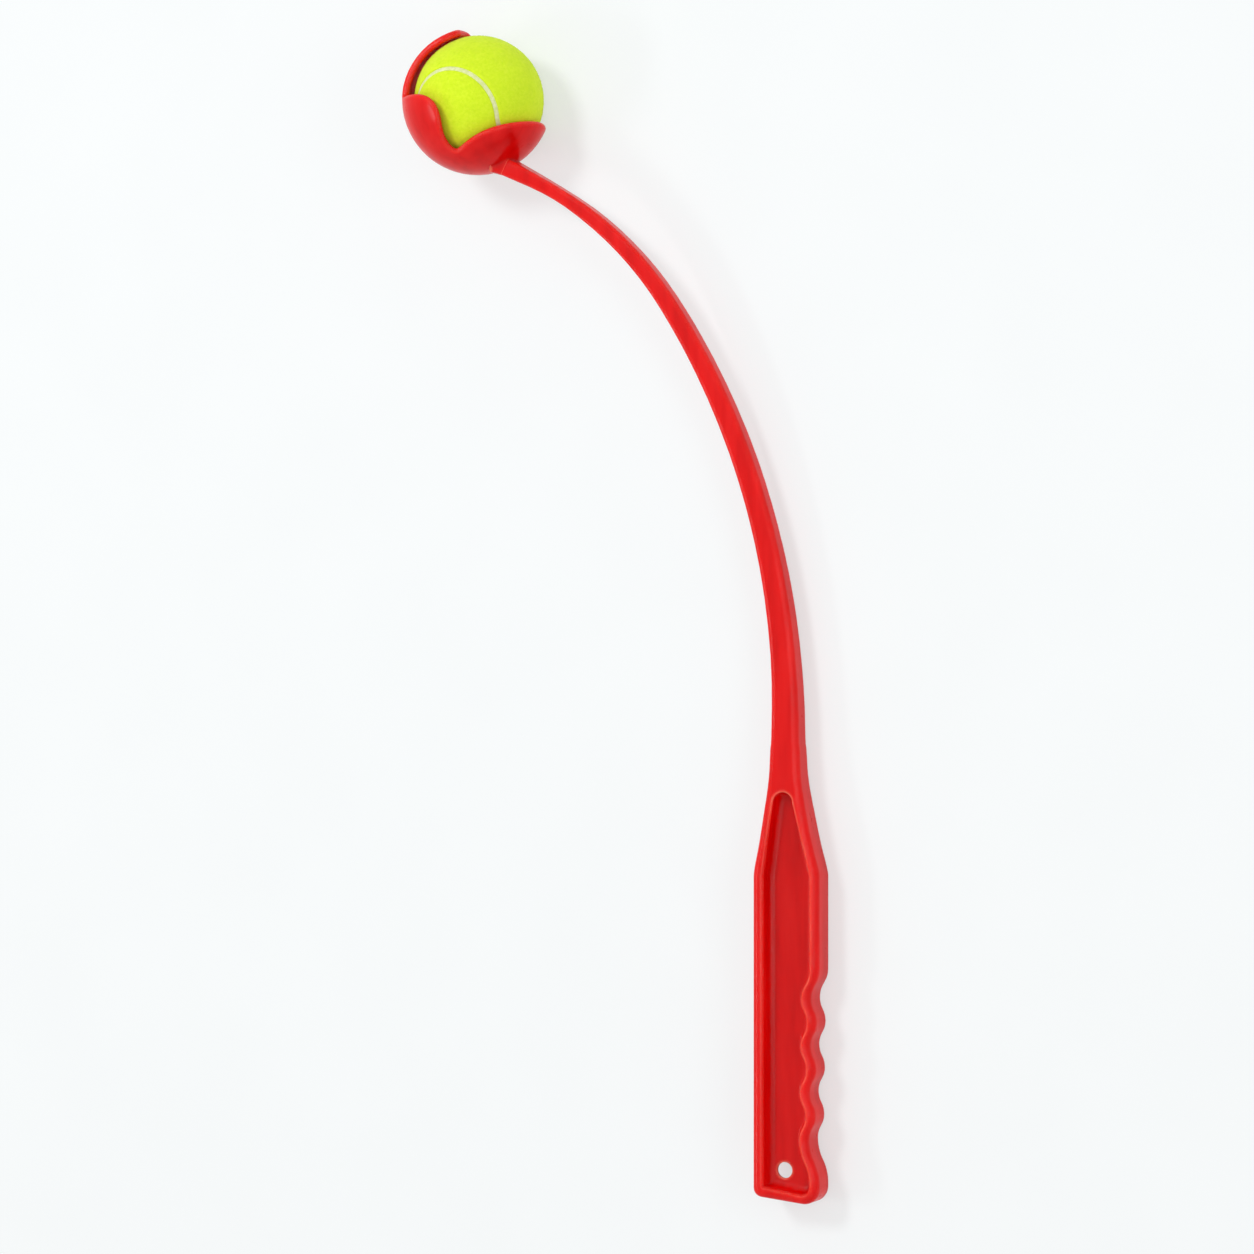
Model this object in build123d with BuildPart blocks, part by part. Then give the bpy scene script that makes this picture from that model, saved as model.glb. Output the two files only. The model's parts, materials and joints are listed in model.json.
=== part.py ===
from build123d import *

import os
from math import acos, cos, degrees, radians, sin, sqrt

# Hand-held ball thrower, one springy plastic moulding with a tennis ball in its cup.
# It is drawn flat first: X across, Y up the handle towards the cup, Z square to the
# plane it is swung in, with the cup's centre at the origin. It is then rolled over
# onto the two places where it lies on the floor.

# Ball
ball_diameter = 66.8
felt_thickness = 3.5
core_wall = 3.4
seam_width = 2.3
seam_sink = 0.3
lobe_reach_angle = 100.0
ball_turn_angles = (-59.5, -9.2, -7.2)

# Cup
ball_room = 1.6
seat_gap = 0.3
cup_wall = 3.7
rim_round = 1.6
seat_shares = (0.54, -0.23, -0.81)
mouth_angle = 40.0
claw_tip_angle = 103.5
claw_root_width = 37.0
claw_tip_width = 27.0
claw_tip_round = 9.0
claw_root_round = 2.0
claw_tuck = 1.5
claw_tuck_angle = 258.0
pole_turn_angles = (0, 16.0, 0)

# Shaft, from the cup to the neck
root_sink = 3.4
root_flare = 2.6
root_flare_length = 6.5
root_flare_sink = 1.5
root_angle = -75.3
cup_lead = 28.1
upper_bend_radius = 189.9
upper_bend_angle = 29.85
lower_bend_radius = 382.5
lower_bend_angle = 33.52
neck_lead = 11.7
neck_width = 14.8
neck_depth = 16.4

# Handle
neck_length = 66.0
handle_length = 165.5
handle_width = 34.8
handle_depth = 21.0
handle_shift = 1.4
edge_round = 4.0
heel_round = 4.7
pommel_round = 8.0
pommel_height = 11.0
end_slope_angle = 7.0
groove_start = 47.0
groove_lead = 14.6
pommel_lead = 22.4
groove_count = 4
groove_depth = 4.4
crest_drop = 1.4
groove_drift = 0.35
finger_wall = 4.7
spine_wall = 6.0
end_wall = 5.2
web_thickness = 2.4
pocket_top = 42.0
pocket_arch_radius = 5.2
pocket_floor_round = 4.0
pocket_corner_round = 4.2
lip_height = 1.1
lip_flare_angle = 42.0
hang_hole_diameter = 8.2
hang_hole_rise = 17.0
hang_hole_shift = 3.0

# Shapes, as shares of the sizes they follow
# Cup rim seen square to the swing plane, in cup radii: tab, notch, lobe
rim_shares = (
    (-1.10, 0.04), (-0.48, 0.01), (-0.28, -0.07), (-0.185, -0.20), (-0.155, -0.40),
    (-0.135, -0.60), (-0.05, -0.70), (0.06, -0.665), (0.20, -0.585), (0.40, -0.485),
    (0.68, -0.385), (1.10, -0.27),
)
# Stations along the shaft, in its own length, with width and depth there in neck sizes
station_shares = (0.0, 0.033, 0.069, 0.116, 0.20, 0.348, 0.521, 0.717, 0.886, 1.0)
width_shares = (0.78, 0.62, 0.51, 0.45, 0.53, 0.615, 0.70, 0.78, 0.88, 1.0)
depth_shares = (1.10, 1.04, 0.91, 0.73, 0.68, 0.70, 0.73, 0.79, 0.90, 1.0)
corner_share = 0.22
shaft_steps = 24
root_lean_share = 0.7
root_steps = 4
seam_steps = 6
rest_steps = 8
# Stations down the neck, with how far its width and depth have grown to the handle's
neck_shares = (0.0, 0.20, 0.43, 0.65, 0.80, 0.92, 1.0)
neck_width_shares = (0.0, 0.075, 0.265, 0.52, 0.72, 0.91, 1.0)
neck_depth_shares = (0.0, 0.26, 0.61, 0.87, 0.96, 0.99, 1.0)

# Sizes worked out from these
ball_radius = ball_diameter / 2
core_radius = ball_radius - felt_thickness
cup_inside = ball_radius + ball_room
cup_outside = cup_inside + cup_wall
handle_half = handle_depth / 2
groove_run = handle_length - groove_start - groove_lead - pommel_lead - pommel_height
groove_pitch = groove_run / (groove_count - 1)
overrun = 2 * cup_outside


def on_circle(radius, angle):
    """Point of the swing plane at a distance and angle from the cup's centre."""
    return (radius * cos(radians(angle)), radius * sin(radians(angle)))


def across(line, share):
    """Plane square to a line that lies in the swing plane, its X in that plane."""
    ahead = line % share
    return Plane(origin=line @ share, x_dir=ahead.rotate(Axis.Z, 90), z_dir=ahead)


def along_rim(edge):
    """Whether an edge of the cup runs along its rim, neither through its wall nor under the claw."""
    under_claw = abs((edge @ 0.5 - tuck / 2).dot(tuck)) < tuck.length ** 2 / 2
    return abs((edge @ 0).length - (edge @ 1).length) < cup_wall / 2 and not under_claw


# Centreline of the shaft, from inside the cup's wall to the top of the neck
with BuildLine() as shaft_line:
    lead = PolarLine(
        on_circle(cup_inside - root_sink, root_angle),
        cup_lead,
        upper_bend_angle + lower_bend_angle - 90,
    )
    upper = JernArc(lead @ 1, lead % 1, upper_bend_radius, -upper_bend_angle)
    lower = JernArc(upper @ 1, upper % 1, lower_bend_radius, -lower_bend_angle)
    Line(lower @ 1, lower @ 1 + lower % 1 * neck_lead)
shaft_path = shaft_line.wires()[0]
neck_top = shaft_path @ 1
shoulder_y = neck_top.Y - neck_length
end_y = shoulder_y - handle_length
handle_x = neck_top.X + handle_shift
spine_x = handle_x - handle_width / 2
finger_x = handle_x + handle_width / 2


def groove_turns(inset):
    """Turning points down the finger side: its straight, four grooves with crests, the pommel."""
    side = finger_x - inset
    turns = [(side, shoulder_y - groove_start)]
    for i in range(groove_count):
        middle = shoulder_y - groove_start - groove_lead - groove_pitch * i
        turns.append((side - groove_depth - groove_drift * i, middle))
        if i < groove_count - 1:
            turns.append((side - crest_drop - groove_drift * i, middle - groove_pitch / 2))
    turns.append((side, end_y + pommel_height))
    return turns


def groove_arcs(inset):
    """Pairs of equal arcs that swing from each turning point to the next."""
    turns = groove_turns(inset)
    for (x0, y0), (x1, y1) in zip(turns, turns[1:]):
        first = TangentArc((x0, y0), ((x0 + x1) / 2, (y0 + y1) / 2), tangent=(0, -1))
        TangentArc(first @ 1, (x1, y1), tangent=first % 1)
    return turns


# Bowl and claw regions, kept from a ball-shaped shell
with BuildPart() as cup_region:
    with BuildSketch(Plane.XY.offset(-cup_outside)) as bowl_outline:
        with BuildLine():
            rim = Spline(*[(cup_outside * x, cup_outside * y) for x, y in rim_shares])
            Polyline(
                rim @ 1,
                ((rim @ 1).X, -overrun),
                ((rim @ 0).X, -overrun),
                rim @ 0,
            )
        make_face()
    extrude(amount=2 * cup_outside)
    claw_ahead = Vector(*on_circle(1, mouth_angle))
    claw_top = cup_outside * cos(radians(claw_tip_angle - mouth_angle))
    claw_back = Plane((0, 0, 0), x_dir=claw_ahead, z_dir=claw_ahead.rotate(Axis.Z, 90))
    with BuildSketch(claw_back) as claw_outline:
        with BuildLine():
            Polyline(
                (-cup_outside, -claw_root_width / 2),
                (claw_top, -claw_tip_width / 2),
                (claw_top, claw_tip_width / 2),
                (-cup_outside, claw_root_width / 2),
                close=True,
            )
        make_face()
        fillet(claw_outline.vertices().group_by(Axis.X)[-1], claw_tip_round)
    extrude(amount=overrun)
    notches = cup_region.edges().filter_by(
        lambda e: abs(abs((e @ 0.5).Z) - claw_root_width / 2) < claw_root_round
        and abs((e @ 0.5).Y) < claw_root_round
    )
    fillet(notches, claw_root_round)

# Hollow of the cup, lower under the claw, which is tucked in over the ball. Its balls are
# turned so that their poles stay clear of the rims.
tuck = Vector(*on_circle(claw_tuck, claw_tuck_angle))
with BuildPart() as cup_hollow:
    Sphere(cup_inside, rotation=pole_turn_angles)
    with Locations(tuck):
        Sphere(cup_inside, rotation=pole_turn_angles, mode=Mode.INTERSECT)

# Cup: shell, claw and bowl with rounded rims
with BuildPart() as flat_cup:
    Sphere(cup_outside, rotation=pole_turn_angles)
    with Locations(tuck):
        Sphere(cup_outside, rotation=pole_turn_angles, mode=Mode.INTERSECT)
    add(cup_hollow.part, mode=Mode.SUBTRACT)
    add(cup_region.part, mode=Mode.INTERSECT)
    fillet(flat_cup.edges().filter_by(along_rim), rim_round)


def share_at(station, shares):
    """Share at a station of the shaft, in step between its two nearest in the table."""
    for i in range(1, len(station_shares)):
        if station <= station_shares[i]:
            break
    run = station_shares[i] - station_shares[i - 1]
    return shares[i] - (shares[i] - shares[i - 1]) * (station_shares[i] - station) / run


# Shaft, thin where it leaves the cup and thick at the neck
with BuildPart() as flat_shaft:
    for step in range(shaft_steps + 1):
        station = step / shaft_steps
        wide = neck_width * share_at(station, width_shares)
        deep = neck_depth * share_at(station, depth_shares)
        with BuildSketch(across(shaft_path, station)):
            RectangleRounded(wide, deep, wide * corner_share)
    loft()
    Sphere(cup_inside, mode=Mode.SUBTRACT)

# Root of the shaft, flaring out in a quarter circle where it meets the cup
root_start = cup_outside - root_flare_sink - (cup_inside - root_sink)
with BuildPart() as flat_root:
    for step in range(root_steps + 1):
        near = 1 - step / root_steps
        flare = root_flare * (1 - sqrt(1 - near ** 2))
        station = (root_start + root_flare_length * (1 - near)) / shaft_path.length
        wide = neck_width * share_at(station, width_shares)
        deep = neck_depth * share_at(station, depth_shares)
        with BuildSketch(across(shaft_path, station)):
            with Locations((flare * root_lean_share, 0)):
                RectangleRounded(wide + 2 * flare, deep + 2 * flare, wide * corner_share + flare)
    loft()
    Sphere(cup_inside, mode=Mode.SUBTRACT)

# Neck, widening to the handle's shoulders
with BuildPart() as flat_neck:
    for station, wide, deep in zip(neck_shares, neck_width_shares, neck_depth_shares):
        down = Plane(
            (neck_top.X + handle_shift * wide, neck_top.Y - neck_length * station, 0),
            x_dir=(1, 0, 0),
            z_dir=(0, -1, 0),
        )
        with BuildSketch(down):
            RectangleRounded(
                neck_width + (handle_width - neck_width) * wide,
                neck_depth + (handle_depth - neck_depth) * deep,
                neck_width * corner_share + (edge_round - neck_width * corner_share) * wide,
            )
    loft()

# Handle: grip block with finger grooves
with BuildPart() as flat_handle:
    with BuildSketch(Plane.XY) as handle_outline:
        with BuildLine():
            turns = groove_arcs(0)
            Polyline(
                turns[-1],
                (finger_x, end_y),
                (spine_x, end_y + handle_width * sin(radians(end_slope_angle))),
                (spine_x, shoulder_y),
                (finger_x, shoulder_y),
                turns[0],
            )
        make_face()
        corners = handle_outline.vertices().group_by(Axis.Y)
        fillet(corners[0], pommel_round)
        heel = handle_outline.vertices().filter_by_position(Axis.Y, end_y, end_y + pommel_height)
        fillet(heel.sort_by(Axis.X)[0], heel_round)
    extrude(amount=handle_half, both=True)
    rims = flat_handle.faces().filter_by(Axis.Z).edges()
    fillet(rims.filter_by(lambda e: e.center().Y < shoulder_y - edge_round), edge_round)

# Pocket in each face of the handle, cut down to the web
arch_y = shoulder_y + pocket_top - pocket_arch_radius
pocket_spine_x = spine_x + spine_wall
pocket_end_y = end_y + end_wall
with BuildPart() as pockets:
    with BuildSketch(Plane.XY.offset(web_thickness / 2)) as pocket_outline:
        with BuildLine():
            inner = groove_arcs(finger_wall)
            Polyline(
                inner[-1],
                (finger_x - finger_wall, pocket_end_y),
                (pocket_spine_x, pocket_end_y + handle_width * sin(radians(end_slope_angle))),
                (pocket_spine_x, shoulder_y),
                (neck_top.X - pocket_arch_radius, arch_y),
            )
            ThreePointArc(
                (neck_top.X - pocket_arch_radius, arch_y),
                (neck_top.X, arch_y + pocket_arch_radius),
                (neck_top.X + pocket_arch_radius, arch_y),
            )
            Polyline(
                (neck_top.X + pocket_arch_radius, arch_y),
                (finger_x - finger_wall, shoulder_y),
                inner[0],
            )
        make_face()
        bottom = pocket_outline.vertices().filter_by_position(
            Axis.Y, pocket_end_y - edge_round, end_y + pommel_height - edge_round
        )
        fillet(bottom, pocket_corner_round)
    extrude(amount=handle_half)
    floor = pockets.faces().sort_by(Axis.Z)[0]
    fillet(floor.edges(), pocket_floor_round)
    with BuildSketch(Plane.XY.offset(handle_half - lip_height)) as lip_outline:
        add(pocket_outline.face())
    extrude(amount=2 * lip_height, taper=-lip_flare_angle)
    mirror(about=Plane.XY)

# The whole moulding, drawn flat
with BuildPart() as flat_wand:
    add(flat_cup.part)
    add(flat_shaft.part)
    add(flat_root.part)
    add(flat_neck.part)
    add(flat_handle.part)
    add(pockets.part, mode=Mode.SUBTRACT)
    with Locations((handle_x - hang_hole_shift, end_y + hang_hole_rise)):
        Hole(hang_hole_diameter / 2, depth=handle_depth)

# Seam of the ball, in its own frame with one panel facing up and the other down: four
# arcs of circles, each swung about the middle of a round lobe that reaches past the waist
lobe_tilt = radians(lobe_reach_angle)
lobe_half_angle = acos(-cos(lobe_tilt) ** 2) / 2
seam_spread = seam_width / 2 / ball_radius
lobe_middles = [
    Vector(across_x * sin(lobe_tilt), across_y * sin(lobe_tilt), up * cos(lobe_tilt))
    for across_x, across_y, up in ((1, 0, 1), (0, 1, -1), (-1, 0, 1), (0, -1, -1))
]


def seam_wall(spread):
    """Wall that cuts through the felt along the seam, moved by an angle into the upper panel."""
    directions = []
    for i, middle in enumerate(lobe_middles):
        home = 1 if i % 2 == 0 else -1
        outward = (middle * middle.Z * home - Vector(0, 0, home)).normalized()
        before = lobe_middles[i - 1]
        start = (before - middle * middle.dot(before)).normalized()
        swing = acos(start.dot(outward))
        sideways = (outward * cos(swing) - start).normalized()
        opening = lobe_half_angle - spread * home
        for j in range(seam_steps):
            turn = swing * (2 * j / seam_steps - 1)
            spoke = outward * cos(turn) + sideways * sin(turn)
            directions.append(middle * cos(opening) + spoke * sin(opening))
    inner = Edge.make_spline([d * (core_radius - felt_thickness) for d in directions], periodic=True)
    outer = Edge.make_spline([d * (ball_radius + felt_thickness) for d in directions], periodic=True)
    return Face.make_surface_from_curves(inner, outer)


# Felt panel that faces up, the one that faces down, and the seam strip between them
with BuildPart() as flat_upper_panel:
    Sphere(ball_radius)
    Sphere(core_radius, mode=Mode.SUBTRACT)
    split(bisect_by=seam_wall(seam_spread), keep=Keep.BOTTOM)

with BuildPart() as flat_lower_panel:
    Sphere(ball_radius)
    Sphere(core_radius, mode=Mode.SUBTRACT)
    split(bisect_by=seam_wall(-seam_spread), keep=Keep.TOP)

with BuildPart() as flat_seam:
    Sphere(ball_radius - seam_sink)
    Sphere(core_radius, mode=Mode.SUBTRACT)
    split(bisect_by=seam_wall(seam_spread), keep=Keep.TOP)
    split(bisect_by=seam_wall(-seam_spread), keep=Keep.BOTTOM)

# Upper half of the hollow rubber core
with BuildPart() as flat_core:
    Sphere(core_radius)
    Sphere(core_radius - core_wall, mode=Mode.SUBTRACT)
    split(bisect_by=Plane.XY, keep=Keep.TOP)

# Ball seated against the far wall of the cup
ball_seat = Location(
    Vector(*seat_shares).normalized() * (ball_room - seat_gap), ball_turn_angles
)

# How far the wand rolls and dips until its cup, its handle and the ball lie on one floor
roll = 0
dip = 0
for _ in range(rest_steps):
    turned = Location((0, 0, 0), (-dip, roll, 0))
    cup_low = flat_cup.part.moved(turned).bounding_box().min.Z
    handle_low = flat_handle.part.moved(turned).bounding_box().min.Z
    ball_low = (turned * ball_seat).position.Z - ball_radius
    more_dip = (ball_low - cup_low) / cup_outside
    roll += degrees((handle_low - cup_low - shoulder_y * more_dip) / finger_x)
    dip += degrees(more_dip)
turned = Location((0, 0, 0), (-dip, roll, 0))
spread = flat_wand.part.moved(turned).bounding_box()
rest = Location((-spread.center().X, -spread.center().Y, -spread.min.Z)) * turned
ball_rest = rest * ball_seat
turned_over = ball_rest * Location((0, 0, 0), (180, 0, -90))

with BuildPart() as thrower_wand:
    with Locations(rest):
        add(flat_wand.part)

with BuildPart() as ball_core_front:
    with Locations(ball_rest):
        add(flat_core.part)

with BuildPart() as ball_core_back:
    with Locations(turned_over):
        add(flat_core.part)

with BuildPart() as ball_felt_panel_a:
    with Locations(ball_rest):
        add(flat_upper_panel.part)

with BuildPart() as ball_felt_panel_b:
    with Locations(ball_rest):
        add(flat_lower_panel.part)

with BuildPart() as ball_seam:
    with Locations(ball_rest):
        add(flat_seam.part)

thrower_wand.part.label = "thrower_wand"
ball_core_front.part.label = "ball_core_front"
ball_core_back.part.label = "ball_core_back"
ball_felt_panel_a.part.label = "ball_felt_panel_a"
ball_felt_panel_b.part.label = "ball_felt_panel_b"
ball_seam.part.label = "ball_seam"

os.makedirs("parts", exist_ok=True)
export_step(thrower_wand.part, "parts/thrower_wand.step")
export_step(ball_core_front.part, "parts/ball_core_front.step")
export_step(ball_core_back.part, "parts/ball_core_back.step")
export_step(ball_felt_panel_a.part, "parts/ball_felt_panel_a.step")
export_step(ball_felt_panel_b.part, "parts/ball_felt_panel_b.step")
export_step(ball_seam.part, "parts/ball_seam.step")
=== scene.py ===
"""Dog ball thrower with its ball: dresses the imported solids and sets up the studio."""

import json
import logging
from dataclasses import dataclass
from enum import Enum

import bmesh
import bpy
import numpy as np
from mathutils import Matrix, Vector


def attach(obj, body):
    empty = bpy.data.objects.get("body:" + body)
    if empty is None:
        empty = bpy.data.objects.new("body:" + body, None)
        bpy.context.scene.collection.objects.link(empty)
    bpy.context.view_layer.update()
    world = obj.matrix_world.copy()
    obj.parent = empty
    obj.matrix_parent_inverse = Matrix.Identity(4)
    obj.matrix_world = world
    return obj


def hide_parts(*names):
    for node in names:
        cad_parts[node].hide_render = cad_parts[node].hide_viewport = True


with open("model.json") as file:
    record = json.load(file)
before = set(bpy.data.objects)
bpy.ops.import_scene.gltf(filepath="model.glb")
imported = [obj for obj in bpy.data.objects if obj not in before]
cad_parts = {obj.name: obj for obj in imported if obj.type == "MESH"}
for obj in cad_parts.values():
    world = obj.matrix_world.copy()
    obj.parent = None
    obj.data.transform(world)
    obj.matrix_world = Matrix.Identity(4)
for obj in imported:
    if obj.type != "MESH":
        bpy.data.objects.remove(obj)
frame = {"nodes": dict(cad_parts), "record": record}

log = logging.getLogger("ball_thrower")
MM = 0.001

Colour = tuple[float, float, float]
Point = tuple[float, float, float]


class Body(Enum):
    """Moving bodies of the thrower."""

    THROWER = "thrower"
    BALL = "ball"


class Slot(Enum):
    """Material slot names paired with the new pieces; nothing reads them."""

    FELT = "ball_felt"
    SEAM = "seam_rubber"


class Panel(Enum):
    """The two felt panels, by which way up each one lies in the ball's own frame."""

    UPPER = "ball_felt_panel_a"
    LOWER = "ball_felt_panel_b"


# Materials


def seen_directly(tree: bpy.types.NodeTree) -> bpy.types.NodeSocket:
    """Adds a value of 1 for camera, gloss and glass rays and 0 for the light that they cast.

    Args:
        tree: Node tree of a material or of the world.

    Returns:
        The value.
    """
    path = tree.nodes.new("ShaderNodeLightPath")
    total = path.outputs["Is Camera Ray"]
    for name in ("Is Glossy Ray", "Is Transmission Ray"):
        node = tree.nodes.new("ShaderNodeMath")
        node.operation = "MAXIMUM"
        tree.links.new(total, node.inputs[0])
        tree.links.new(path.outputs[name], node.inputs[1])
        total = node.outputs["Value"]
    return total


@dataclass(frozen=True)
class Grain:
    """Random pattern in object space.

    Its cell is the size of the largest cells in mm, detail counts the octaves, roughness is
    the strength of each finer one, and stretch draws the cells out along Y.
    """

    cell: float
    detail: float = 3.0
    roughness: float = 0.5
    stretch: float = 1.0


@dataclass(frozen=True)
class Relief:
    """Fine relief of a finish: its grain, its depth in mm and how much of it shows."""

    grain: Grain
    depth: float
    share: float


class Shader:
    """Node tree of one procedural material, with short calls to add and join nodes."""

    def __init__(self, name: str) -> None:
        """Makes an empty material with a Principled surface.

        Args:
            name: Name of the material.
        """
        self.material = bpy.data.materials.new(name)
        self.material.use_nodes = True
        self.tree = self.material.node_tree
        self.tree.nodes.clear()
        self.output = self.add("OutputMaterial")
        self.surface = self.add("BsdfPrincipled")
        self.join(self.surface.outputs["BSDF"], self.output.inputs["Surface"])
        self.place = self.add("TexCoord").outputs["Object"]

    def add(self, kind: str, **inputs: object) -> bpy.types.Node:
        """Adds a node.

        Args:
            kind: Blender's name of the node, without ShaderNode.
            inputs: Values of its sockets, with underscores for spaces.

        Returns:
            The node.
        """
        node = self.tree.nodes.new("ShaderNode" + kind)
        for name, value in inputs.items():
            node.inputs[name.replace("_", " ")].default_value = value
        return node

    def join(self, source: bpy.types.NodeSocket, target: bpy.types.NodeSocket) -> None:
        """Joins an output to an input."""
        self.tree.links.new(source, target)

    def set(self, **values: object) -> None:
        """Sets uniform values on the surface's own sockets.

        Args:
            values: Socket names, with underscores for spaces, and their values.
        """
        for name, value in values.items():
            self.surface.inputs[name.replace("_", " ")].default_value = value

    def noise(self, grain: Grain) -> bpy.types.NodeSocket:
        """Adds fractal noise in object space.

        Args:
            grain: Its cells, octaves and stretch.

        Returns:
            The noise's value, from 0 to 1.
        """
        node = self.add(
            "TexNoise",
            Scale=1.0 / (grain.cell * MM),
            Detail=grain.detail,
            Roughness=grain.roughness,
        )
        drawn = self.add("Mapping", Scale=(1.0, 1.0 / grain.stretch, 1.0))
        self.join(self.place, drawn.inputs["Vector"])
        self.join(drawn.outputs["Vector"], node.inputs["Vector"])
        return node.outputs["Fac"]

    def band(
        self,
        source: bpy.types.NodeSocket,
        low: tuple[float, float],
        high: tuple[float, float],
    ) -> bpy.types.NodeSocket:
        """Maps a value from one range to another, held at both ends.

        Args:
            source: Value to map.
            low: Lowest input and what it becomes.
            high: Highest input and what it becomes.

        Returns:
            The mapped value.
        """
        node = self.add(
            "MapRange", From_Min=low[0], To_Min=low[1], From_Max=high[0], To_Max=high[1]
        )
        self.join(source, node.inputs["Value"])
        return node.outputs["Result"]

    def colours(
        self, source: bpy.types.NodeSocket, stops: tuple[tuple[float, Colour], ...]
    ) -> None:
        """Colours the surface along a ramp.

        Args:
            source: Value from 0 to 1.
            stops: Pairs of place and linear colour.
        """
        node = self.add("ValToRGB")
        ramp = node.color_ramp
        while len(ramp.elements) < len(stops):
            ramp.elements.new(0.5)
        for element, (place, colour) in zip(ramp.elements, stops):
            element.position = place
            element.color = (*colour, 1.0)
        self.join(source, node.inputs["Fac"])
        self.join(node.outputs["Color"], self.surface.inputs["Base Color"])

    def edges(
        self, reach: float, low: tuple[float, float], high: tuple[float, float]
    ) -> bpy.types.NodeSocket:
        """Adds a value that is high on outer edges, where little solid lies behind the surface; it
        places a painted highlight.

        Args:
            reach: How deep it looks into the solid, in mm.
            low: Openness of the solid on an edge, and the value there.
            high: Openness of the solid on an even face, and the value there.

        Returns:
            The value.
        """
        node = self.add("AmbientOcclusion", Distance=reach * MM)
        node.inside = True
        node.only_local = True
        node.samples = 6
        return self.band(node.outputs["AO"], low, high)

    def tint(self, amount: bpy.types.NodeSocket, colour: Colour) -> None:
        """Turns the surface's colour towards another one.

        Args:
            amount: Share of the other colour, from 0 to 1.
            colour: The other linear colour.
        """
        node = self.add("Mix")
        node.data_type = "RGBA"
        socket = self.surface.inputs["Base Color"]
        first, second = [entry for entry in node.inputs if entry.type == "RGBA"]
        self.join(socket.links[0].from_socket, first)
        second.default_value = (*colour, 1.0)
        self.join(amount, node.inputs["Factor"])
        self.join([entry for entry in node.outputs if entry.type == "RGBA"][0], socket)

    def bump(self, relief: Relief) -> None:
        """Adds relief to the surface, on top of any added before.

        Args:
            relief: Its grain, depth and share.
        """
        node = self.add("Bump", Strength=relief.share, Distance=relief.depth * MM)
        self.join(self.noise(relief.grain), node.inputs["Height"])
        socket = self.surface.inputs["Normal"]
        if socket.is_linked:
            self.join(socket.links[0].from_socket, node.inputs["Normal"])
        self.join(node.outputs["Normal"], socket)
        self.join(node.outputs["Normal"], self.surface.inputs["Coat Normal"])

    def soften(self, radius: float) -> None:
        """Rounds the shading over edges, as a mould does to its arrises.

        Args:
            radius: Radius of the rounding, in mm.
        """
        node = self.add("Bevel", Radius=radius * MM)
        node.samples = 6
        self.join(node.outputs["Normal"], self.surface.inputs["Normal"])


@dataclass(frozen=True)
class GlossyMoulding:
    """Red injection-moulded polypropylene, glossy, with flow marks, handling wear and a painted
    highlight along its outer edges.
    """

    colour: Colour = (0.70, 0.0025, 0.0025)
    deep: Colour = (0.62, 0.0012, 0.0012)
    light: Colour = (0.76, 0.007, 0.006)
    flow: Grain = Grain(6.0, 3.0, 0.45, 9.0)
    # Painted highlight: pale colour laid on outer edges in place of the gloss lines that lamps draw
    # there.
    edge: Colour = (1.0, 0.17, 0.11)
    painted_highlight_reach: float = 1.8
    edge_openness: float = 0.6
    face_openness: float = 0.86
    roughness: float = 0.3
    polished: float = 0.03
    scuffed: float = 0.05
    wear: Grain = Grain(6.0, 4.0, 0.6)
    gloss: float = 0.28
    sheen: float = 0.16
    arris: float = 1.6
    glow: float = 1.0
    glow_depth: float = 9.0
    waves: Relief = Relief(Grain(16.0, 1.0), 0.10, 0.35)
    pores: Relief = Relief(Grain(1.2, 2.0), 0.008, 0.4)

    def material(self) -> bpy.types.Material:
        """Builds the plastic's material.

        Returns:
            The material.
        """
        shader = Shader("moulded_red_plastic")
        shader.soften(self.arris)
        flow = shader.noise(self.flow)
        shader.colours(flow, ((0.3, self.deep), (0.5, self.colour), (0.72, self.light)))
        # Painted highlight: the base colour turns pale along outer edges, found by looking into the
        # solid.
        edges = shader.edges(self.painted_highlight_reach, (self.edge_openness, 1.0), (self.face_openness, 0.0))
        shader.tint(edges, self.edge)
        wear = shader.band(
            shader.noise(self.wear),
            (0.3, self.roughness - self.polished),
            (0.7, self.roughness + self.scuffed),
        )
        shader.join(wear, shader.surface.inputs["Roughness"])
        shader.bump(self.waves)
        shader.bump(self.pores)
        shader.set(IOR=1.49, Specular_IOR_Level=0.02, Subsurface_Weight=self.glow)
        shader.set(Coat_Weight=self.gloss, Coat_Roughness=self.sheen, Coat_IOR=1.5)
        shader.set(
            Subsurface_Radius=(1.0, 0.05, 0.04),
            Subsurface_Scale=self.glow_depth * MM,
        )
        return shader.material


@dataclass(frozen=True)
class NappedFelt:
    """Optic yellow felt with a short raised nap."""

    colour: Colour = (0.68, 0.88, 0.026)
    pale: Colour = (0.74, 0.92, 0.042)
    shade: Colour = (0.62, 0.84, 0.018)
    tufts: Grain = Grain(1.6, 4.0, 0.62)
    pile: Relief = Relief(Grain(0.9, 4.0, 0.7), 0.18, 0.4)
    glow_depth: float = 1.5

    def material(self) -> bpy.types.Material:
        """Builds the felt's material.

        Returns:
            The material.
        """
        shader = Shader("optic_yellow_felt")
        tufts = shader.noise(self.tufts)
        shader.colours(tufts, ((0.28, self.shade), (0.5, self.colour), (0.74, self.pale)))
        shader.bump(self.pile)
        shader.set(Roughness=0.95, Specular_IOR_Level=0.08)
        shader.set(Sheen_Weight=0.14, Sheen_Roughness=0.5, Sheen_Tint=(0.93, 1.0, 0.45, 1.0))
        shader.set(
            Subsurface_Weight=0.4,
            Subsurface_Radius=(1.0, 1.0, 0.4),
            Subsurface_Scale=self.glow_depth * MM,
        )
        return shader.material


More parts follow.
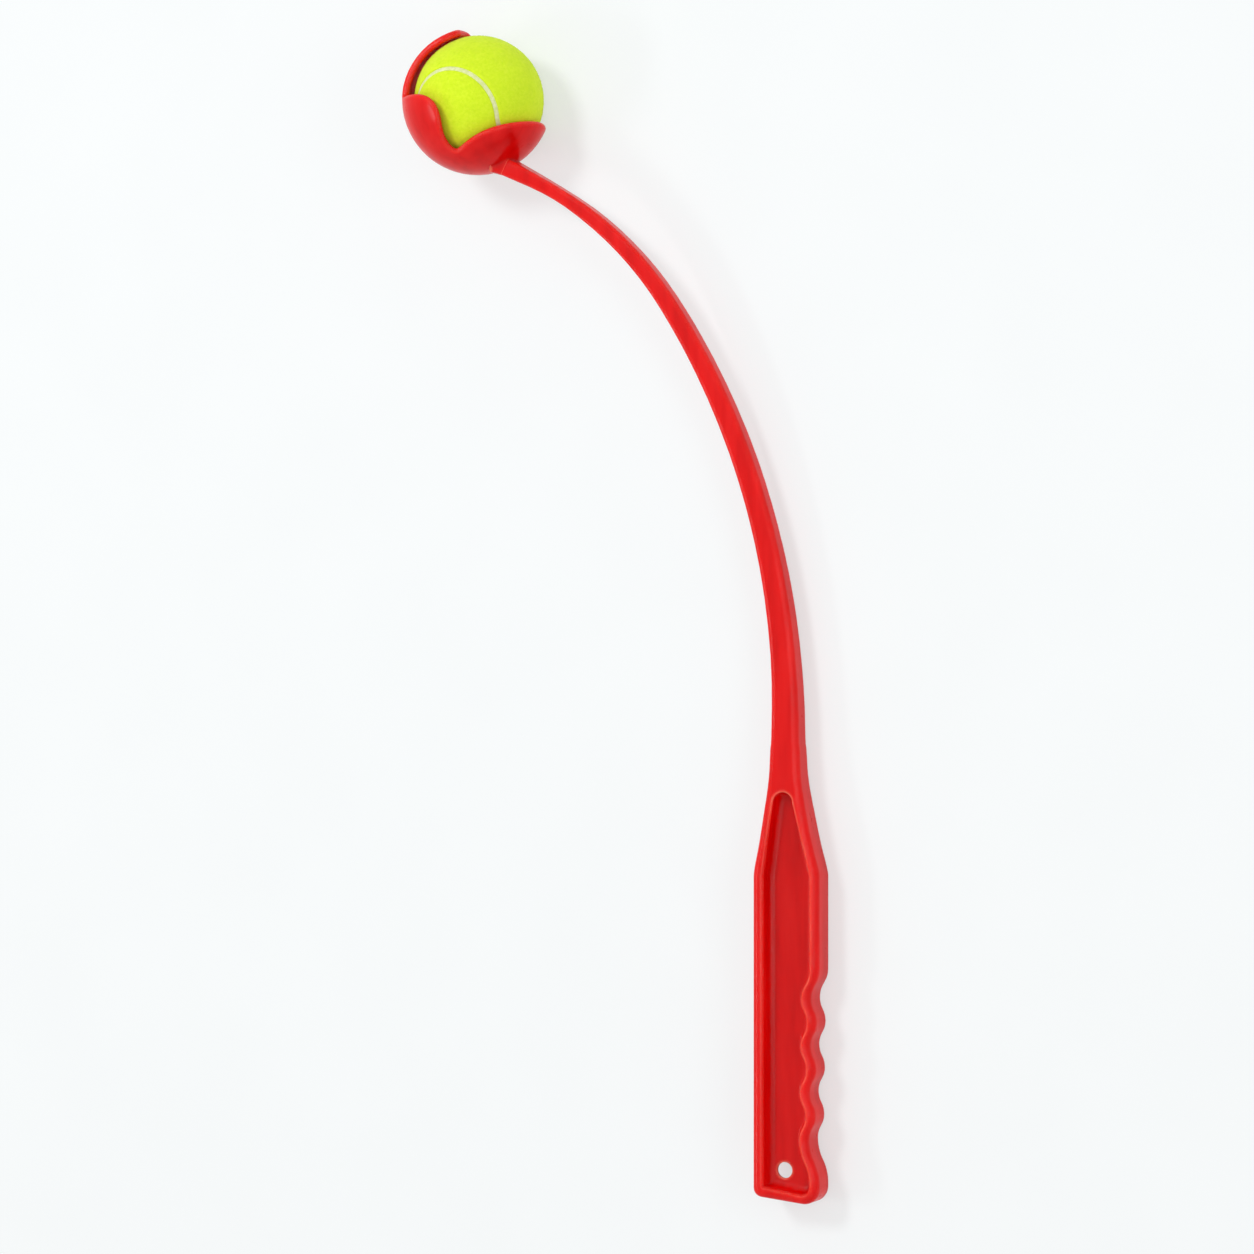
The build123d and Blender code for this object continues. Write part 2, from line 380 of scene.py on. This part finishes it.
@dataclass(frozen=True)
class SeamRubber:
    """Cream vulcanised strip between the felt panels."""

    colour: Colour = (0.77, 0.81, 0.47)
    stain: Colour = (0.66, 0.73, 0.30)
    stains: Grain = Grain(1.4)
    grit: Relief = Relief(Grain(0.6), 0.08, 0.5)

    def material(self) -> bpy.types.Material:
        """Builds the seam's material.

        Returns:
            The material.
        """
        shader = Shader("cream_seam_rubber")
        shader.colours(shader.noise(self.stains), ((0.35, self.stain), (0.62, self.colour)))
        shader.bump(self.grit)
        shader.set(Roughness=0.7, Specular_IOR_Level=0.3)
        return shader.material


@dataclass(frozen=True)
class CoreRubber:
    """Dark moulded rubber of the ball's hidden core."""

    colour: Colour = (0.018, 0.018, 0.02)
    dusty: Colour = (0.06, 0.058, 0.055)
    dust: Grain = Grain(4.0, 4.0)
    grit: Relief = Relief(Grain(0.7), 0.08, 0.6)

    def material(self) -> bpy.types.Material:
        """Builds the core's material.

        Returns:
            The material.
        """
        shader = Shader("dark_core_rubber")
        shader.colours(shader.noise(self.dust), ((0.4, self.colour), (0.8, self.dusty)))
        shader.bump(self.grit)
        shader.set(Roughness=0.8, Specular_IOR_Level=0.35)
        return shader.material


@dataclass(frozen=True)
class StudioPaper:
    """White paper of the studio floor, mostly white to the eye, so that shadows stay pale."""

    tone: Colour = (0.80, 0.85, 0.86)
    pale: Colour = (0.82, 0.87, 0.88)
    clouds: Grain = Grain(80.0, 2.0)
    glow_share: float = 0.55

    def material(self) -> bpy.types.Material:
        """Builds the paper's material.

        Returns:
            The material.
        """
        shader = Shader("white_paper")
        shader.colours(shader.noise(self.clouds), ((0.3, self.tone), (0.7, self.pale)))
        shader.set(Roughness=0.9, Specular_IOR_Level=0.1)
        glow = shader.add("Emission", Color=(1.0, 1.0, 1.0, 1.0), Strength=1.0)
        share = shader.add("Math")
        share.operation = "MULTIPLY"
        share.inputs[1].default_value = self.glow_share
        shader.join(seen_directly(shader.tree), share.inputs[0])
        mix = shader.add("MixShader")
        shader.join(share.outputs["Value"], mix.inputs[0])
        shader.join(shader.surface.outputs["BSDF"], mix.inputs[1])
        shader.join(glow.outputs["Emission"], mix.inputs[2])
        shader.join(mix.outputs["Shader"], shader.output.inputs["Surface"])
        return shader.material


# Places and surfaces


@dataclass(frozen=True)
class FlatDrawing:
    """What the wand's flat drawing, in mm, says of two features that the record gives too."""

    hole: Point = (168.3503, -545.4753, 0.0)
    hole_axis: Point = (0.0, 0.0, 1.0)
    slide_axis: Point = (0.7575, 0.6356, 0.149)


@dataclass(frozen=True)
class WandAxes:
    """Turn and shift from the wand's flat drawing, in mm, to the frame, in metres."""

    turn: np.ndarray
    shift: np.ndarray

    @staticmethod
    def triad(first: np.ndarray, second: np.ndarray) -> np.ndarray:
        """Makes square axes from two directions.

        Args:
            first: Direction of the first axis.
            second: Direction that fixes the turn about it.

        Returns:
            The axes as columns.
        """
        first = first / np.linalg.norm(first)
        third = np.cross(first, second)
        third /= np.linalg.norm(third)
        return np.stack([first, third, np.cross(first, third)], axis=1)

    @classmethod
    def from_record(cls, record: dict, drawing: FlatDrawing = FlatDrawing()) -> "WandAxes":
        """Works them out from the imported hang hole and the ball's sliding axis.

        Args:
            record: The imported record.
            drawing: The same features on the flat drawing.

        Returns:
            The wand's axes.
        """
        hole = record["mounts"][0]
        slide = np.array(record["behaviour"]["joints"][0]["axis"], float)
        flat = cls.triad(np.array(drawing.hole_axis), np.array(drawing.slide_axis))
        turn = cls.triad(np.array(hole["axis"], float), slide) @ flat.T
        return cls(turn, np.array(hole["pos_m"], float) - turn @ np.array(drawing.hole) * MM)

    def place(self, points: np.ndarray) -> np.ndarray:
        """Moves points from the flat drawing, in mm, into the frame, in metres."""
        return points @ self.turn.T * MM + self.shift


def unit(vectors: np.ndarray) -> np.ndarray:
    """Scales vectors, along their last axis, to a length of 1."""
    return vectors / np.maximum(np.linalg.norm(vectors, axis=-1, keepdims=True), 1e-9)


def angle_of(cosine: np.ndarray) -> np.ndarray:
    """Angle in radians of a cosine, held within -1 to 1."""
    return np.arccos(np.clip(cosine, -1, 1))


def hash_noise(points: np.ndarray, cell: float, seed: float) -> np.ndarray:
    """Smooth random relief from -1 to 1.

    Each corner of a cubic lattice gets a value from a sine hash, and a point takes the
    mean of its eight corners, weighted by smoothed distances along the three axes.

    Args:
        points: Array of points, shape (n, 3).
        cell: Size of the lattice, in the points' own unit.
        seed: Number that picks another pattern.

    Returns:
        One value per point.
    """
    hash_direction = np.array([127.1, 311.7, 74.7])
    hash_gain = 43758.5453
    scaled = points / cell
    base = np.floor(scaled)
    near = scaled - base
    near = near * near * (3.0 - 2.0 * near)
    total = np.zeros(len(points))
    for corner in np.ndindex(2, 2, 2):
        step = np.array(corner, float)
        value = np.sin((base + step) @ hash_direction + seed) * hash_gain
        weight = np.prod(np.where(step > 0, near, 1.0 - near), axis=1)
        total += weight * (value - np.floor(value))
    return 2.0 * total - 1.0


@dataclass(frozen=True)
class Grid:
    """Surface given by a grid of points, whose rows and columns may each run round in a ring."""

    points: np.ndarray
    closed_rows: bool = False
    closed_columns: bool = False

    def piece(
        self, name: str, material: bpy.types.Material, merge: float = 0.0
    ) -> bpy.types.Object:
        """Makes the surface a mesh, with one quad between each four neighbouring points.

        Args:
            name: Name of the new object.
            material: Its material.
            merge: Distance in metres within which points become one, or 0.

        Returns:
            The object.
        """
        rows, columns, _ = self.points.shape
        index = np.arange(rows * columns).reshape(rows, columns)
        if self.closed_rows:
            index = np.concatenate([index, index[:1]])
        if self.closed_columns:
            index = np.concatenate([index, index[:, :1]], axis=1)
        corners = [index[:-1, :-1], index[:-1, 1:], index[1:, 1:], index[1:, :-1]]
        quads = np.stack(corners, axis=-1).reshape(-1, 4)
        return make_piece(name, self.points.reshape(-1, 3), quads, material, merge)


def make_piece(
    name: str,
    points: np.ndarray,
    faces: np.ndarray,
    material: bpy.types.Material,
    merge: float = 0.0,
) -> bpy.types.Object:
    """Makes a smooth-shaded object from arrays.

    Args:
        name: Name of the new object.
        points: Points in metres, shape (n, 3).
        faces: Corner numbers, shape (m, corners), counter-clockwise from outside.
        material: Its material.
        merge: Distance in metres within which points become one, or 0.

    Returns:
        The object.
    """
    mesh = bpy.data.meshes.new(name)
    corners = faces.shape[1]
    mesh.vertices.add(len(points))
    mesh.vertices.foreach_set("co", points.astype(np.float32).ravel())
    mesh.loops.add(faces.size)
    mesh.loops.foreach_set("vertex_index", faces.astype(np.int32).ravel())
    mesh.polygons.add(len(faces))
    mesh.polygons.foreach_set("loop_start", np.arange(0, faces.size, corners, dtype=np.int32))
    mesh.polygons.foreach_set("use_smooth", np.ones(len(faces), bool))
    mesh.update(calc_edges=True)
    mesh.validate()
    if merge:
        work = bmesh.new()
        work.from_mesh(mesh)
        bmesh.ops.remove_doubles(work, verts=work.verts, dist=merge)
        work.to_mesh(mesh)
        work.free()
    mesh.materials.append(material)
    piece = bpy.data.objects.new(name, mesh)
    bpy.context.scene.collection.objects.link(piece)
    log.info("%s: %d faces", name, len(mesh.polygons))
    return piece


def dress(node: str, material: bpy.types.Material) -> None:
    """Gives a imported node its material.

    Args:
        node: Name of the node.
        material: Its material.
    """
    mesh = frame["nodes"][node].data
    mesh.materials.clear()
    mesh.materials.append(material)
    log.info("%s: %s", node, material.name)


# The ball


@dataclass(frozen=True)
class Tufts:
    """Random relief of a surface: amount in mm, and the cell in mm and seed of its pattern."""

    amount: float
    cell: float
    seed: float

    def heights(self, points: np.ndarray) -> np.ndarray:
        """Height of the relief at each point, in mm."""
        return self.amount * hash_noise(points, self.cell, self.seed)


@dataclass(frozen=True)
class Nap:
    """Short fibres on the felt, in mm: how many, how long, how thick and how they lean."""

    count: int = 13000
    length: tuple[float, float] = (0.5, 1.3)
    width: float = 0.075
    middle_width: float = 0.045
    rise: tuple[float, float] = (0.25, 0.7)
    tip_rise: float = 0.35
    lean: float = 0.5
    root: float = 0.08
    clear_of_seam: float = 0.15
    seed: int = 7
    corner_angles: Point = (0.0, 2.094, 4.189)
    faces: tuple[tuple[int, int, int], ...] = (
        (0, 1, 4),
        (0, 4, 3),
        (1, 2, 5),
        (1, 5, 4),
        (2, 0, 3),
        (2, 3, 5),
        (3, 4, 6),
        (4, 5, 6),
        (5, 3, 6),
        (2, 1, 0),
    )


@dataclass
class TennisBall:
    """Felt panels, seam strip and nap of the ball, all in the ball's own frame in mm."""

    axes: WandAxes
    radius: float = 33.4
    seam_width: float = 2.3
    seam_sink: float = 0.42
    seam_depth: float = 1.4
    seam_arch: float = 0.22
    seam_overlap: float = 1.25
    seam_grain: Tufts = Tufts(0.035, 1.5, 9.3)
    edge_drop: float = 0.62
    edge_run: float = 1.5
    felt_depth: float = 3.3
    broad_tufts: Tufts = Tufts(0.06, 2.6, 1.7)
    fine_tufts: Tufts = Tufts(0.042, 1.1, 5.1)
    edge_tufts: float = 0.2
    lobe_reach: float = 100.0
    turn_angles: Point = (-59.5, -9.2, -7.2)
    seat_shares: Point = (0.54, -0.23, -0.81)
    seat_reach: float = 1.3
    rows: int = 100
    columns: int = 140
    back_columns: int = 12
    seam_columns: int = 11
    seam_back_columns: int = 4
    merge: float = 1e-6
    nap: Nap = Nap()

    def __post_init__(self) -> None:
        """Works out the seam's circles and the ball's place in the wand."""
        reach = np.radians(self.lobe_reach)
        side, rise = np.sin(reach), np.cos(reach)
        self.half_angle = np.arccos(-(rise**2)) / 2
        self.spread = self.seam_width / 2 / self.radius
        self.upper = np.array([[side, 0, rise], [-side, 0, rise]])
        self.lower = np.array([[0, side, -rise], [0, -side, -rise]])
        a, b, c = np.radians(self.turn_angles)
        about_x = np.array([[1, 0, 0], [0, np.cos(a), -np.sin(a)], [0, np.sin(a), np.cos(a)]])
        about_y = np.array([[np.cos(b), 0, np.sin(b)], [0, 1, 0], [-np.sin(b), 0, np.cos(b)]])
        about_z = np.array([[np.cos(c), -np.sin(c), 0], [np.sin(c), np.cos(c), 0], [0, 0, 1]])
        self.turn = about_x @ about_y @ about_z
        self.seat = unit(np.array(self.seat_shares)) * self.seat_reach
        outward, towards = self.arc_frame(self.upper[0], 1.0, self.lower[0])[1:]
        self.swing = angle_of(outward @ towards)

    def arc_frame(
        self, middle: np.ndarray, home: float, neighbour: np.ndarray
    ) -> tuple[np.ndarray, np.ndarray, np.ndarray]:
        """Directions about a lobe's middle: sideways, straight outwards, and to a neighbour.

        Args:
            middle: Middle of the lobe.
            home: 1 for a lobe of the upper panel, -1 for one of the lower panel.
            neighbour: Middle of the lobe that its arc meets.

        Returns:
            The sideways, outward and neighbour directions, square to the middle.
        """
        outward = unit(middle * middle[2] * home - np.array([0, 0, home]))
        towards = unit(neighbour - middle * (middle @ neighbour))
        sideways = unit(towards - outward * (towards @ outward))
        return sideways, outward, towards

    def arc(
        self,
        middle: np.ndarray,
        home: float,
        neighbour: np.ndarray,
        turns: np.ndarray,
        shift: float,
    ) -> np.ndarray:
        """Points of one seam arc.

        A point lies at the arc's opening angle from the lobe's middle, turned about it
        from straight outwards towards the neighbour.

        Args:
            middle: Middle of the lobe.
            home: 1 for a lobe of the upper panel, -1 for one of the lower panel.
            neighbour: Middle of the lobe that positive turns lead to.
            turns: Turn of each point, in radians.
            shift: Angle by which the arc moves into the upper panel.

        Returns:
            Unit directions, shape (n, 3).
        """
        sideways, outward, _ = self.arc_frame(middle, home, neighbour)
        opening = self.half_angle - shift * home
        spokes = np.outer(np.cos(turns), outward) + np.outer(np.sin(turns), sideways)
        return middle * np.cos(opening) + spokes * np.sin(opening)

    def seam_distance(self, directions: np.ndarray) -> np.ndarray:
        """Distance from the edge of the upper panel, in mm.

        Inside a lobe of its own, a point is as far in as the lobe's circle is wider than
        its angle from the lobe's middle; elsewhere it is as far in as it lies outside the
        nearer circle of the lower panel.

        Args:
            directions: Unit directions on the upper panel, shape (n, 3).

        Returns:
            Distance of each.
        """
        own = self.upper[(directions[:, 0] < 0).astype(int)]
        along = (directions * own).sum(1)
        _, side, fall = self.lower[0]
        angle_own = angle_of(along)
        angle_other = angle_of(np.abs(directions[:, 1]) * side + directions[:, 2] * fall)
        outward = unit(own * own[:, 2:] - np.array([0, 0, 1.0]))
        spoke = unit(directions - own * along[:, None])
        in_lobe = angle_of((spoke * outward).sum(1)) < self.swing
        inside = np.where(in_lobe, self.half_angle - angle_own, angle_other - self.half_angle)
        return (inside - self.spread) * self.radius

    def seam_gap(self, directions: np.ndarray) -> np.ndarray:
        """Distance of any direction from the nearer felt edge, in mm, below 0 on the seam."""
        upper = self.seam_distance(directions)
        lower = self.seam_distance(self.flip(directions))
        return np.maximum(upper, lower)

    def edge_fall(self, inward: np.ndarray) -> np.ndarray:
        """Quarter-round drop of the felt's edge, in mm, from the share of its run inwards."""
        return self.edge_drop * (1 - np.sqrt(1 - (1 - inward) ** 2))

    def flip(self, points: np.ndarray) -> np.ndarray:
        """Half turn of the upper panel onto the lower one: x and y swap, z changes sign."""
        return points[..., [1, 0, 2]] * np.array([1.0, 1.0, -1.0])

    def place(self, points: np.ndarray) -> np.ndarray:
        """Moves points from the ball's frame to the thrower's."""
        return self.axes.place(points @ self.turn.T + self.seat)

    def panel_points(self) -> np.ndarray:
        """Grid over the upper panel.

        Rows are meridians about the Y axis, one through each point of the panel's edge:
        its latitude runs from minus to plus the edge's own. Each point stands at the
        ball's radius, less a quarter-round drop near the seam, plus random relief. The
        last columns run back under the felt at its depth, so that each row is a ring.

        Returns:
            Points in mm, shape (rows, columns, 3).
        """
        quarter = np.linspace(0, self.swing, self.rows)
        half = np.linspace(-self.swing, self.swing, 2 * self.rows)[1:-1]
        edge = np.concatenate(
            [
                self.arc(self.upper[0], 1.0, self.lower[0], quarter, self.spread),
                self.arc(self.lower[0], -1.0, self.upper[1], half, self.spread),
                self.arc(self.upper[1], 1.0, self.lower[0], quarter[::-1], self.spread),
            ]
        )
        longitude = np.arctan2(edge[:, 0], edge[:, 2])[:, None]
        face, back = np.linspace(-1, 1, self.columns), np.linspace(1, -1, self.back_columns)
        latitude = np.arcsin(np.clip(edge[:, 1], 0, 1))[:, None] * np.concatenate([face, back])
        directions = np.stack(
            [
                np.cos(latitude) * np.sin(longitude),
                np.sin(latitude),
                np.cos(latitude) * np.cos(longitude),
            ],
            axis=-1,
        )
        flat = directions.reshape(-1, 3)
        inward = np.clip(self.seam_distance(flat) / self.edge_run, 0, 1)
        spots = flat * self.radius
        tufts = self.broad_tufts.heights(spots) + self.fine_tufts.heights(spots)
        height = self.radius - self.edge_fall(inward)
        height += tufts * np.clip(inward * 2, self.edge_tufts, 1)
        height = height.reshape(latitude.shape)
        height[:, self.columns :] = self.radius - self.felt_depth
        return directions * height[..., None]

    def felt(self, panel: Panel, finish: bpy.types.Material) -> bpy.types.Object:
        """Builds one felt panel in place of its solid.

        Args:
            panel: Which of the two.
            finish: The felt's material.

        Returns:
            The panel.
        """
        points = self.panel_points()
        if panel is Panel.LOWER:
            points = self.flip(points)
        grid = Grid(self.place(points), closed_columns=True)
        piece = grid.piece("felt_" + panel.name.lower(), finish, self.merge)
        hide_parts(panel.value)
        return piece

    def seam_points(self) -> np.ndarray:
        """Grid along the closed seam.

        Rows follow the four arcs end to end. Columns cross the strip a little past both
        panel edges on a shallow arch below the felt's face, and run back at the strip's depth.

        Returns:
            Points in mm, shape (rows, columns, 3).
        """
        lobes = [
            (self.upper[0], 1.0),
            (self.lower[0], -1.0),
            (self.upper[1], 1.0),
            (self.lower[1], -1.0),
        ]
        turns = np.linspace(-self.swing, self.swing, 2 * self.rows)[:-1]
        reach = self.seam_overlap
        face = np.linspace(reach, -reach, self.seam_columns)
        back = np.linspace(-reach, reach, self.seam_back_columns)
        columns = []
        for share, deep in [(s, 0.0) for s in face] + [(s, self.seam_depth) for s in back]:
            arcs = [
                self.arc(middle, home, lobes[(i + 1) % 4][0], turns, share * self.spread)
                for i, (middle, home) in enumerate(lobes)
            ]
            ring = np.concatenate(arcs)
            height = self.radius - self.seam_sink - self.seam_arch * share**2 - deep
            height = height + self.seam_grain.heights(ring * self.radius)
            columns.append(ring * height[:, None])
        return np.stack(columns, axis=1)

    def seam(self, finish: bpy.types.Material) -> bpy.types.Object:
        """Builds the seam strip in place of its solid.

        Args:
            finish: The seam's material.

        Returns:
            The strip.
        """
        grid = Grid(self.place(self.seam_points()), closed_rows=True, closed_columns=True)
        piece = grid.piece("seam_strip", finish, self.merge)
        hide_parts("ball_seam")
        return piece

    def fibres(self, finish: bpy.types.Material) -> bpy.types.Object:
        """Builds the short fibres that stand out of the felt.

        Each fibre is a thin three-sided spike in two lengths: it leaves the felt at a
        random lean and bends over by as much again, and narrows to its tip.

        Args:
            finish: The felt's material.

        Returns:
            All fibres as one piece.
        """
        nap = self.nap
        random = np.random.default_rng(nap.seed)
        roots = unit(random.normal(size=(nap.count, 3)))
        deep = np.minimum(self.seam_gap(roots), self.edge_run)
        clear = deep > nap.clear_of_seam
        roots, deep = roots[clear], deep[clear]
        count = len(roots)
        sink = self.edge_fall(deep / self.edge_run)
        base = roots * (self.radius - sink - nap.root)[:, None]
        lean = random.normal(size=(count, 3))
        lean = unit(lean - roots * (lean * roots).sum(1, keepdims=True))
        half = random.uniform(*nap.length, count)[:, None] / 2
        rise = random.uniform(*nap.rise, count)[:, None]
        middle = base + half * (roots * rise + lean * nap.lean)
        tip = middle + half * (roots * rise * nap.tip_rise + lean)
        side = np.cross(roots, lean)
        corners = [lean * np.cos(turn) + side * np.sin(turn) for turn in nap.corner_angles]
        foot = [base + nap.width * corner for corner in corners]
        waist = [middle + nap.middle_width * corner for corner in corners]
        points = np.stack([*foot, *waist, tip], axis=1)
        first = np.arange(count) * points.shape[1]
        faces = (first[:, None, None] + np.array(nap.faces)[None]).reshape(-1, 3)
        return make_piece("felt_nap", self.place(points.reshape(-1, 3)), faces, finish)

    def build(self) -> None:
        """Builds and dresses the whole ball."""
        felt, seam = NappedFelt().material(), SeamRubber().material()
        core = CoreRubber().material()
        for piece, slot in (
            (self.felt(Panel.UPPER, felt), Slot.FELT),
            (self.felt(Panel.LOWER, felt), Slot.FELT),
            (self.seam(seam), Slot.SEAM),
            (self.fibres(felt), Slot.FELT),
        ):
            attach(piece, Body.BALL.value)
        dress("ball_core_front", core)
        dress("ball_core_back", core)
        for panel in Panel:
            dress(panel.value, felt)
        dress("ball_seam", seam)


# Studio


@dataclass(frozen=True)
class Lamp:
    """One soft lamp, long side level, in metres and watts."""

    name: str
    place: Point
    length: float
    width: float
    power: float

    def hang(self) -> None:
        """Hangs the lamp, facing the middle of the floor."""
        data = bpy.data.lights.new(self.name, "AREA")
        data.shape = "RECTANGLE"
        data.size = self.length
        data.size_y = self.width
        data.energy = self.power
        lamp = bpy.data.objects.new(self.name, data)
        lamp.location = self.place
        lamp.rotation_euler = (-Vector(self.place)).to_track_quat("-Z", "Y").to_euler()
        bpy.context.scene.collection.objects.link(lamp)


@dataclass(frozen=True)
class Studio:
    """White floor, soft lamps and the photograph's camera.

    The camera's eye and target are places on the wand's flat drawing, in mm. Its focal
    share is the focal length over the photograph's width.
    """

    axes: WandAxes
    target: Point = (82.97, -272.14, 0.0)
    eye: Point = (932.3, -272.1, 2212.6)
    focal_share: float = 4647.0 / 1254.0
    sensor: float = 36.0
    far: float = 60.0
    floor_half: float = 8.0
    ambient: float = 0.54
    lamps: tuple[Lamp, ...] = (
        Lamp("key_softbox", (-0.5, 1.0, 2.0), 0.5, 0.5, 18.0),
        Lamp("left_strip", (-1.4, -0.3, 1.3), 0.7, 0.2, 5.0),
        Lamp("crest_strip", (1.0, 0.0, 1.9), 0.9, 0.12, 4.5),
        Lamp("right_fill", (1.5, 0.1, 1.0), 0.9, 0.5, 4.0),
    )

    def camera(self) -> None:
        """Adds the camera at the photograph's viewing angle."""
        eye = self.axes.place(np.array(self.eye))
        target = self.axes.place(np.array(self.target))
        back = unit(eye - target)
        right = unit(np.cross(self.axes.turn[:, 1], back))
        data = bpy.data.cameras.new("photo_camera")
        data.sensor_width = self.sensor
        data.lens = self.sensor * self.focal_share
        data.clip_end = self.far
        camera = bpy.data.objects.new("photo_camera", data)
        matrix = np.eye(4)
        matrix[:3] = np.stack([right, np.cross(back, right), back, eye], axis=1)
        camera.matrix_world = Matrix(matrix.tolist())
        bpy.context.scene.collection.objects.link(camera)
        bpy.context.scene.camera = camera

    def floor(self) -> None:
        """Adds the plain floor."""
        half = self.floor_half
        corners = np.array([[-half, -half, 0], [half, -half, 0], [half, half, 0], [-half, half, 0]])
        faces = np.array([[0, 1, 2, 3]])
        floor = make_piece("studio_floor", corners, faces, StudioPaper().material())

    def world(self) -> None:
        """Surrounds the object with even pale light, white where it is seen directly."""
        world = bpy.data.worlds.new("studio_world")
        bpy.context.scene.world = world
        world.use_nodes = True
        tree = world.node_tree
        background = tree.nodes["Background"]
        background.inputs["Color"].default_value = (1.0, 1.0, 1.0, 1.0)
        strength = tree.nodes.new("ShaderNodeMapRange")
        strength.inputs["To Min"].default_value = self.ambient
        strength.inputs["To Max"].default_value = 1.0
        tree.links.new(seen_directly(tree), strength.inputs["Value"])
        tree.links.new(strength.outputs["Result"], background.inputs["Strength"])

    def build(self) -> None:
        """Sets up the whole studio."""
        self.camera()
        self.floor()
        self.world()
        for lamp in self.lamps:
            lamp.hang()
        bpy.context.scene.view_settings.view_transform = "Standard"


def main() -> None:
    """Builds the studio and every piece."""
    logging.basicConfig(level=logging.INFO, format="%(message)s")
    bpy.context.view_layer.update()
    axes = WandAxes.from_record(frame["record"])
    Studio(axes).build()
    dress("thrower_wand", GlossyMoulding().material())
    TennisBall(axes).build()


if __name__ == "__main__":
    main()
